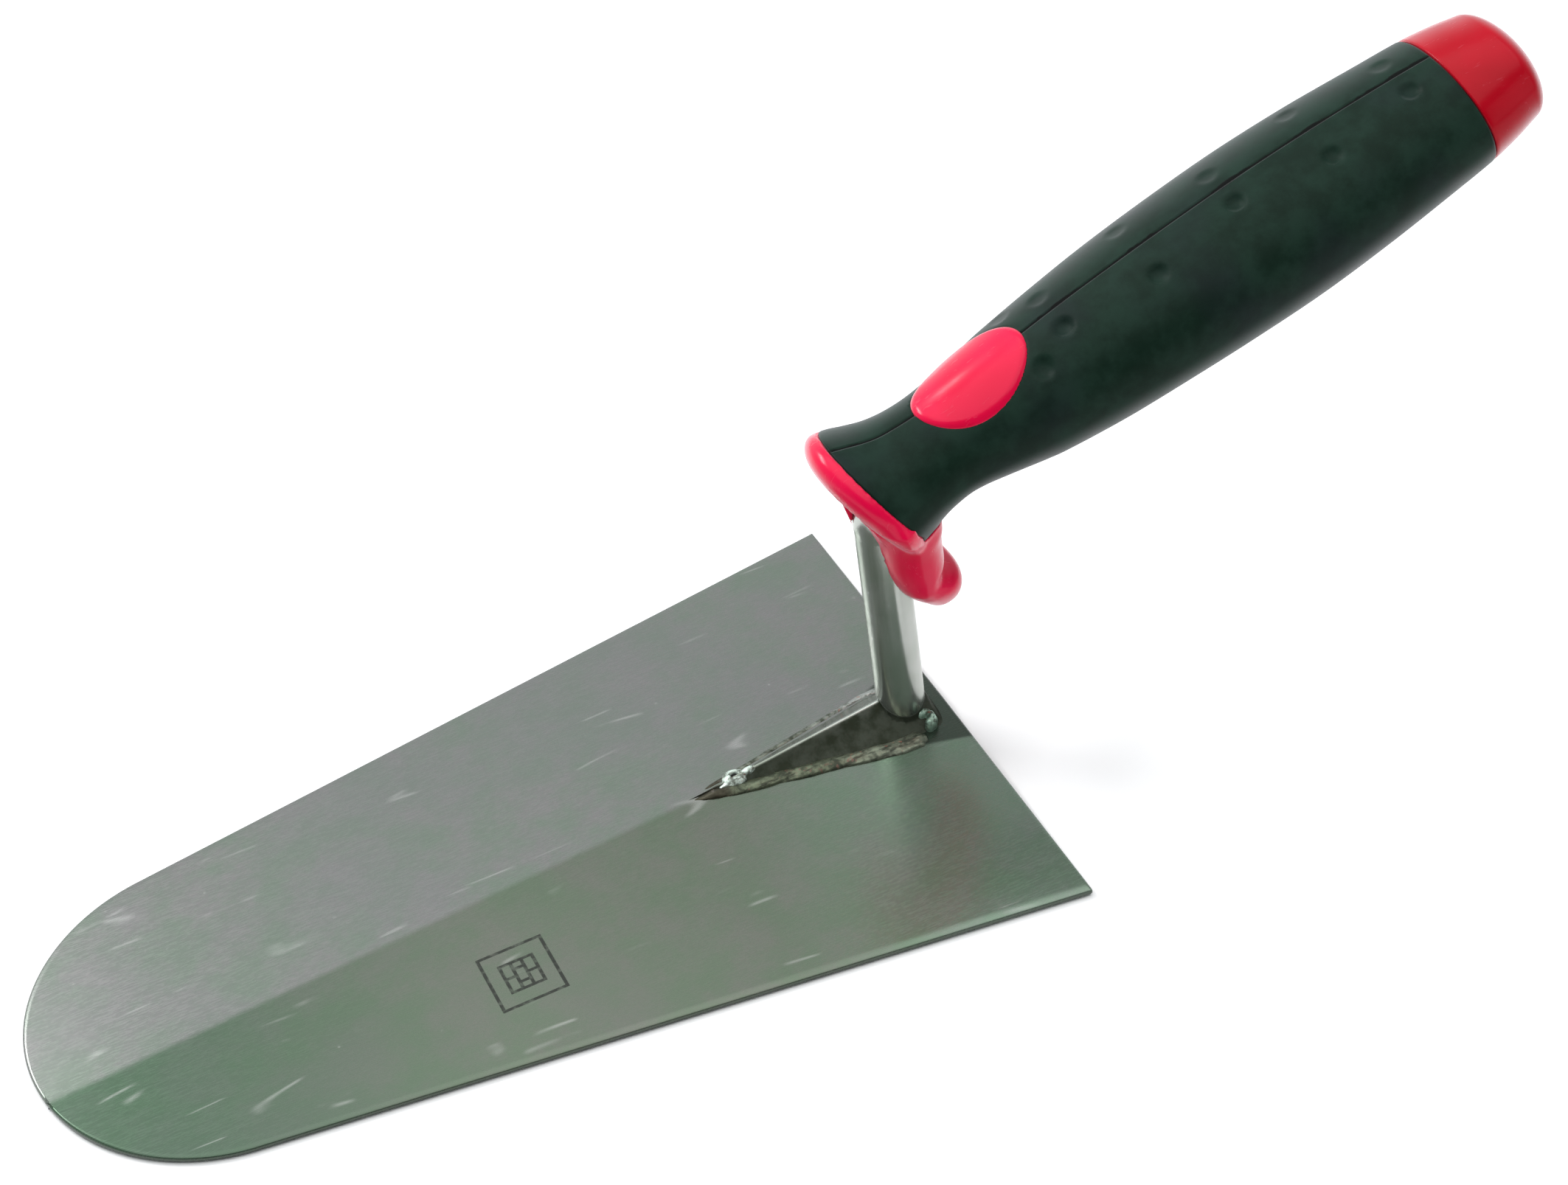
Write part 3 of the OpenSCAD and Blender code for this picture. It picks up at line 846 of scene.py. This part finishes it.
def make_core():
    """Hard red moulding: front lip, finger guard, web, hidden core and thumb pad."""
    front = surface_net("core_front", lambda s, y, n: np.maximum(core_field(s, y, n), s + 19.0),
                        (-50.0, -17.0, -32.0), (-18.0, 17.0, 17.0), 0.36)
    angle = section_angles(120)
    inner = skin("inner", [
        barrel_point(np.full_like(angle, s), angle, GRIP_T + 0.12) for s in np.linspace(-20, 83.9, 40)
    ])
    return join("red_core", [front, inner, make_pad()])


def make_cap():
    """Domed red end."""
    angle = section_angles(150, ())
    rings = []
    for inset, ahead in ((3.0, 0.05), (0.5, 0.05), (0.18, 0.14), (0.04, 0.32)):
        rings.append(barrel_point(np.full_like(angle, CAP_S + ahead), angle, inset))
    for s in np.linspace(CAP_S + 0.6, DOME_S, 22):
        rings.append(barrel_point(np.full_like(angle, s), angle))
    for a in np.radians(np.linspace(4, 88, 26)):
        high = np.where(np.sin(angle) > 0, DOME_UP, DOME_DOWN)
        rings.append(on_handle(
            DOME_S + DOME_RISE * math.sin(a),
            DOME_HALF_W * math.cos(a) * np.cos(angle),
            high * math.cos(a) * np.sin(angle),
        ))
    return skin("butt_end", rings)


# --- shank and welds ---------------------------------------------------------

FOOT_TOE_X, FOOT_HALF_W, FOOT_H = -53.5, 8.0, 7.8
# Centre and radius of the pit in the toe weld, its depth, and the height it is cut from.
PIT, PIT_DEPTH, PIT_FROM_Z = (-43.1, 0.5, 0.9), 1.0, 2.4
WELD_FLOOR = 0.6


def make_bar():
    """Post, bend and tang swept along one centreline."""
    turn = math.pi / 2 - TILT
    leg = BEND_R * math.tan(turn / 2)
    bend_z = KNEE_Z - leg
    path = [((POST_X, 0.0, z), (0.0, 0.0, 1.0), POST_R) for z in np.linspace(2.4, bend_z - 0.3, 30)]
    for a in np.linspace(0.0, turn, 26):
        centre = (POST_X + BEND_R * (1 - math.cos(a)), 0.0, bend_z + BEND_R * math.sin(a))
        swell = BEND_SWELL * min(1.0, 6 * min(a, turn - a) / turn)
        path.append((centre, (math.sin(a), 0.0, math.cos(a)), POST_R + swell))
    begin = KNEE + leg * AXIS
    for f in np.linspace(0.02, 1.0, 24):
        r = POST_R if f < 0.7 else POST_R + (TANG_TIP_R - POST_R) * (f - 0.7) / 0.3
        path.append((begin + f * TANG_LEN * AXIS, AXIS, r))
    around = np.radians(np.arange(0, 360, 3.75))
    rings = []
    for centre, along, r in path:
        aside = np.array([along[2], 0.0, -along[0]])
        ring = np.cos(around)[:, None] * aside + np.sin(around)[:, None] * np.array([0.0, 1.0, 0.0])
        rings.append(np.asarray(centre) + r * ring)
    return skin("shank_bar", rings)


def foot_half_width(x):
    """Half width of the foot's base."""
    front = POST_X - POST_R
    return FOOT_HALF_W * np.clip((x - FOOT_TOE_X) / (front - FOOT_TOE_X), 0.02, 1.0)


def make_foot():
    """Forged wedge with a crisp ridge and slightly hollow faces."""
    rings = []
    front, back = POST_X - POST_R, POST_X + POST_R + 1.5
    for x in np.r_[np.linspace(FOOT_TOE_X + 0.2, front, 70), np.linspace(front + 0.7, back, 14)]:
        half = float(foot_half_width(x))
        share = (x - FOOT_TOE_X) / (front - FOOT_TOE_X)
        if x <= front:
            top = 2.0 + (FOOT_H - 2.0) * share
        else:
            top = FOOT_H - 1.2 * (x - front) / (2 * POST_R)
            if x > POST_X + POST_R:
                top -= (top - 2.6) * (x - POST_X - POST_R) / 1.5
        base = 1.6
        ring = []
        for t in np.linspace(-1, 1, 41):
            slope = 1 - abs(t)
            level = slope - 0.06 * math.sin(math.pi * slope)
            tip = 0.05 * math.exp(-(t / 0.05) ** 2)
            ring.append([x, t * half, base + (top - base) * (level - tip)])
        for t in np.linspace(0.9, -0.9, 8):
            ring.append([x, t * half, base - 0.1])
        rings.append(np.array(ring))
    foot = skin("foot", rings)
    roughen(foot, (5.0, 5.0, 5.0), 0.07, 3)
    return foot


def make_shank():
    """Bar and foot in one piece."""
    bar = make_bar()
    unite(bar, make_foot())
    return bar


def lumps(name, centres, voxel_mm, seed, depth_mm, scale_mm):
    """Weld metal: flattened balls fused into one lumpy piece."""
    parts = []
    around = np.radians(np.arange(0, 360, 20.0))
    for k, (x, y, z, rx, ry, rz) in enumerate(centres):
        rings = []
        for a in np.radians(np.linspace(-84, 84, 11)):
            rings.append(np.stack([
                x + rx * math.cos(a) * np.cos(around), y + ry * math.cos(a) * np.sin(around),
                z + rz * math.sin(a) + 0 * around], 1))
        parts.append(skin(f"{name}_{k}", rings))
    whole = join(name, parts)
    fuse(whole, voxel_mm, 6)
    roughen(whole, (scale_mm,) * 3, depth_mm, seed, 0.1)
    keep_above(whole)
    return whole


def keep_above(shape):
    """Stops weld metal from reaching through the underside."""
    for v in shape.data.vertices:
        v.co.z = max(v.co.z, WELD_FLOOR * MM)


def make_bead(name, side, size, seed):
    """Flattened weld strip along one base edge of the foot, with drawn-out ripples."""
    rings = []
    around = np.radians(np.arange(0, 360, 12.0))
    for u in np.linspace(0.0, 1.0, 150):
        x = FOOT_TOE_X + 1.2 + 44.6 * u
        ends = min(1.0, 9 * u + 0.1, 14 * (1 - u) + 0.5)
        wide = size * (0.7 + 0.35 * u) * ends
        tall = size * (0.5 + 0.18 * u) * ends
        y = side * (float(foot_half_width(x)) + 0.15)
        rings.append(np.stack([
            x + 0 * around, y + wide * np.cos(around), 1.75 + tall * np.sin(around)], 1))
    strip = skin(name, rings)
    roughen(strip, (6.5, 1.1, 1.6), 0.13 * size, seed, 0.4)
    keep_above(strip)
    return strip


def make_heel_weld():
    """Curl of weld metal behind the post."""
    spots = [(-3.2, 3.0, 1.6, 1.4, 1.9, 0.8), (-3.1, 0.4, 1.6, 1.3, 2.1, 0.8),
             (-3.8, -2.4, 1.7, 1.3, 2.0, 1.0)]
    for k in range(7):
        a = math.radians(-100 + 38 * k)
        spots.append((-5.9 + 1.0 * math.cos(a), -5.3 + 1.6 * math.sin(a), 2.9, 0.95, 0.95, 1.8))
    return lumps("heel_weld", spots, 0.18, 21, 0.14, 1.5)


def make_toe_weld():
    """Flat spot with a small pit on the end of the ridge."""
    spots = [(-43.2, 0.3, 2.5, 2.5, 2.3, 1.1), (-45.2, -0.9, 2.2, 1.7, 1.3, 0.7),
             (-40.2, 0.1, 3.1, 1.9, 0.9, 0.9)]
    whole = lumps("toe_weld", spots, 0.16, 31, 0.09, 1.6)
    for v in whole.data.vertices:
        r = math.hypot(v.co.x / MM - PIT[0], v.co.y / MM - PIT[1]) / PIT[2]
        if r < 1 and v.co.z > PIT_FROM_Z * MM:
            v.co.z -= PIT_DEPTH * MM * (1 - r * r)
    whole.data.update()
    return whole


def shank_material():
    """Polished bar: brighter, with draw lines along it and a few nicks."""
    p = Paint("polished_steel")
    x, y, z = p.axes()
    cloud = p.noise(p.scaled(), 120.0, 4.0, 0.6)
    draw = p.noise(p.scaled((1.0, 1.0, 0.06)), 900.0, 3.0, 0.6)
    base = p.mix(p.ramp(cloud, 0.3, 0.7), colour(0.40, 0.44, 0.39), colour(0.5, 0.52, 0.49))
    nick = p.ramp(p.cells(p.scaled(), 260.0), 0.05, 0.1, 1.0, 0.0)
    nick = p.times(nick, p.ramp(cloud, 0.52, 0.6))
    base = p.mix(nick, base, grey(0.85))
    low = p.ramp(z, 0.0045, 0.0085, 1.0, 0.0)
    # Painted shade covers the near face of the foot and the back of its base, not the post.
    near = p.math("MAXIMUM", p.ramp(y, -0.0005, -0.0001, 1.0, 0.0), p.ramp(x, -0.0065, -0.005))
    over = p.math("ADD", z, p.times(0.76, p.math("ABSOLUTE", y)))
    over = p.math("ADD", over, p.times(0.0012, p.math("SUBTRACT", cloud, 0.5)))
    foot_near_face_shade = p.times(near, p.ramp(over, 0.0082, 0.0088, 1.0, 0.0))
    base = p.tint(low, base, colour(0.5, 0.52, 0.48))
    shade_mottle = p.ramp(p.noise(p.scaled(), 300.0, 4.0, 0.6), 0.35, 0.65, 0.86, 1.0)
    base = p.mix(p.times(foot_near_face_shade, shade_mottle), base, colour(0.022, 0.028, 0.016))
    front = p.times(p.ramp(x, -0.0475, -0.045, 1.0, 0.0), 0.9)
    base = p.mix(front, base, colour(0.03, 0.026, 0.017))
    rough = p.ramp(draw, 0.3, 0.7, 0.2, 0.26)
    rough = p.math("ADD", rough, p.times(foot_near_face_shade, 0.25))
    flat = p.bump(draw, 0.015, 0.01)
    flat = p.bump(cloud, 0.2, 0.1, flat)
    p.finish(Base_Color=base, Roughness=rough, Normal=flat)
    return p.finish(Metallic=p.ramp(foot_near_face_shade, 0.0, 1.0, 0.85, 0.25),
                    Specular_IOR_Level=p.ramp(foot_near_face_shade, 0.0, 1.0, 0.5, 0.12))


def weld_material(name, bright, pit=None):
    """Cooled weld metal: grey with dark oxide and rust specks; without a pit it is darker towards the
    toe end, and a given pit is painted near-black as shade.
    """
    p = Paint(name)
    blot = p.noise(p.scaled(), 520.0, 5.0, 0.65, 0.4)
    speck = p.noise(p.scaled(), 900.0, 3.0, 0.5)
    streak = p.noise(p.scaled((0.25, 1, 1), -10), 700.0, 3.0, 0.6)
    base = p.mix(p.ramp(blot, 0.34, 0.6), colour(0.06, 0.07, 0.05), colour(*bright))
    base = p.mix(p.ramp(streak, 0.55, 0.66, 0.0, 0.8), base, colour(0.03, 0.032, 0.022))
    rust = p.ramp(speck, 0.62, 0.7)
    base = p.mix(p.times(rust, 0.6), base, colour(0.22, 0.07, 0.04))
    x, y, _ = p.axes()
    if pit is None:
        # Darker towards the toe end.
        toe_darkening = p.ramp(x, -0.047, -0.043, 0.9, 0.0)
        base = p.tint(p.ramp(x, -0.03, -0.014, 1.0, 0.0), base, colour(0.55, 0.58, 0.5))
        base = p.mix(toe_darkening, base, colour(0.035, 0.03, 0.018))
    else:
        # Painted shade: the pit is painted near-black.
        u, v = (p.math("POWER", p.math("SUBTRACT", a, c * MM), 2.0) for a, c in zip((x, y), pit))
        reach = p.math("SQRT", p.math("ADD", u, v))
        hole = p.ramp(reach, 0.6 * pit[2] * MM, 0.9 * pit[2] * MM, 1.0, 0.0)
        base = p.mix(hole, base, grey(0.008))
    metal = p.times(0.7 if pit is None else 0.3, p.math("SUBTRACT", 1.0, rust))
    rough = p.ramp(blot, 0.35, 0.65, 0.55, 0.34)
    flat = p.bump(blot, 0.3 if pit is None else 0.1, 0.2)
    return p.finish(Base_Color=base, Metallic=metal, Roughness=rough, Normal=flat)


# --- plastics ----------------------------------------------------------------

def red_material(name, light, deep, gloss):
    """Glossy moulded plastic with faint flow marks and scuffs."""
    p = Paint(name)
    flow = p.noise(p.scaled(), 60.0, 3.0, 0.5, 0.5)
    orange_peel = p.noise(p.scaled(), 900.0, 2.0, 0.5)
    scuff = p.ramp(p.noise(p.scaled((1, 5, 1), 30), 260.0, 4.0, 0.7), 0.6, 0.72)
    base = p.mix(p.ramp(flow, 0.3, 0.7), deep, light)
    base = p.mix(p.times(scuff, 0.1), base, colour(0.6, 0.15, 0.2))
    rough = p.math("ADD", p.ramp(flow, 0.3, 0.7, 0.2, 0.26), p.times(scuff, 0.15))
    flat = p.bump(orange_peel, 0.06, 0.03)
    flat = p.bump(flow, 0.15, 0.25, flat)
    p.finish(Base_Color=base, Roughness=rough, Normal=flat)
    return p.finish(Specular_IOR_Level=p.glancing(gloss, 0.95), Sheen_Weight=0.3,
                    Sheen_Roughness=0.35, Sheen_Tint=colour(1.0, 0.8, 0.92))


def grip_material():
    """Soft black rubber: fine grain, dusty mottling and a pale sheen at grazing angles."""
    p = Paint("soft_black")
    mottle = p.noise(p.scaled(), 170.0, 5.0, 0.6)
    wide = p.noise(p.scaled(), 45.0, 3.0, 0.5)
    grain = p.noise(p.scaled(), 2400.0, 3.0, 0.6)
    base = p.mix(p.ramp(mottle, 0.32, 0.7), colour(0.003, 0.014, 0.008), colour(0.009, 0.027, 0.018))
    base = p.mix(p.times(p.ramp(wide, 0.45, 0.7), 0.4), base, colour(0.012, 0.014, 0.02))
    y = p.axes()[1]
    blotch = p.ramp(p.noise(p.scaled(), 130.0, 3.0, 0.6), 0.45, 0.7, 0.0, 0.45 * MM)
    reach = p.math("SUBTRACT", p.math("ABSOLUTE", y), blotch)
    base = p.mix(p.ramp(reach, 0.12 * MM, 0.32 * MM, 0.9, 0.0), base, grey(0.001))
    rough = p.math("ADD", p.ramp(mottle, 0.3, 0.7, 0.44, 0.54), p.times(grain, 0.06))
    flat = p.bump(grain, 0.25, 0.04)
    flat = p.bump(mottle, 0.2, 0.12, flat)
    p.finish(Base_Color=base, Roughness=rough, Normal=flat)
    return p.finish(Specular_IOR_Level=p.glancing(0.09, 0.9), Sheen_Weight=0.08,
                    Sheen_Roughness=0.3, Sheen_Tint=colour(0.8, 0.75, 0.95))


# --- assembly ----------------------------------------------------------------

def make_tool():
    """Every piece with its material, in place of its CAD node."""
    weld = weld_material("weld_metal", (0.20, 0.225, 0.165))
    far_weld = weld_material("far_weld_metal", (0.3, 0.32, 0.3))
    # Painted highlight: the toe weld is painted pale for the bright highlight on it.
    painted_highlight_weld = weld_material("painted_highlight_weld_metal", (0.62, 0.74, 0.66), PIT)
    heel_weld = weld_material("heel_weld_metal", (0.42, 0.6, 0.48))
    red = red_material("red_gloss", colour(0.76, 0.0, 0.055), colour(0.68, 0.0, 0.040), 0.22)
    red_cap = red_material("red_gloss_end", colour(0.46, 0.0, 0.012), colour(0.38, 0.0, 0.008), 0.12)
    adopt(make_blade(), "blade", blade_material())
    adopt(make_shank(), "shank", shank_material())
    adopt(make_bead("near_weld", -1, 2.0, 41), "weld_near", weld)
    adopt(make_bead("far_weld", 1, 0.8, 42), "weld_far", far_weld)
    adopt(make_toe_weld(), "weld_toe", painted_highlight_weld)
    adopt(make_heel_weld(), "weld_heel", heel_weld)
    adopt(make_core(), "handle_core", red)
    adopt(make_grip(), "grip_sleeve", grip_material())
    adopt(make_cap(), "butt_cap", red_cap)


make_camera()
make_studio()
make_tool()
